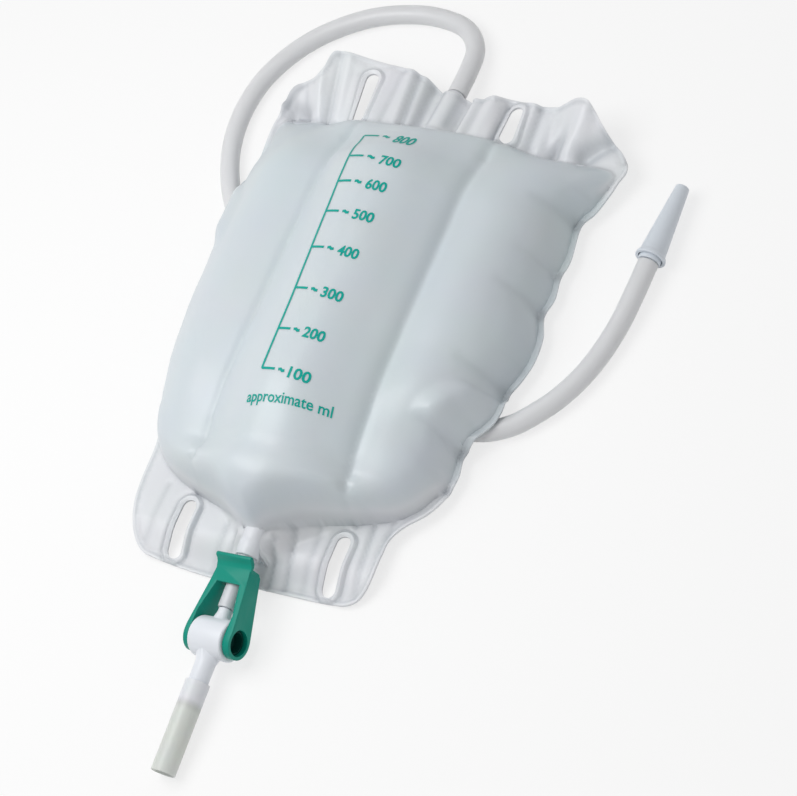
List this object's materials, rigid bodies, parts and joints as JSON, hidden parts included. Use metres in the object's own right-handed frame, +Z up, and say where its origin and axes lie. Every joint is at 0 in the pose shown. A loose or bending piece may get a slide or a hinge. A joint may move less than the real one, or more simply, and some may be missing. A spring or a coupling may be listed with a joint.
{
  "type": "urine drainage leg bag",
  "caption": "Part-filled chambered film drainage bag lying on its back, with a volume scale, strap slots, an inlet tube with a capped connector and a lever drain valve.",
  "frame": {"origin": "middle of the footprint of the bag and its drain valve, on the surface they lie on", "axes": "+X across the bag to its right, +Y from the drain valve towards the inlet, +Z up from the surface"},
  "size_m": [0.1894, 0.3105, 0.0436],
  "materials": {
    "frosted_film": "translucent frosted film",
    "white_plastic": "smooth moulded",
    "green_plastic": "satin moulded",
    "frosted_tube": "translucent soft tube",
    "seal_rubber": "matt"
  },
  "bodies": {
    "bag_set": {"bag": "frosted_film", "inlet_port": "white_plastic", "outlet_port": "white_plastic", "valve_body": "white_plastic", "outlet_sleeve": "frosted_tube", "inlet_tube": "frosted_tube", "connector": "white_plastic"},
    "lever_set": {"lever": "green_plastic", "valve_core": "green_plastic", "core_seal_left": "seal_rubber", "core_seal_right": "seal_rubber"},
    "cap": {"connector_cap": "white_plastic"}
  },
  "joints": [
    {"name": "lever_hinge", "type": "hinge", "parent": "bag_set", "child": "lever_set", "pos_m": [-0.0027, -0.09087, 0.0089], "axis": [0.9877, -0.0144, 0.1558], "range_deg": [0, 90]},
    {"name": "cap_slide", "type": "slide", "parent": "bag_set", "child": "cap", "axis": [0.0565, 0.9984, 0], "range_m": [0, 0.032]}
  ]
}
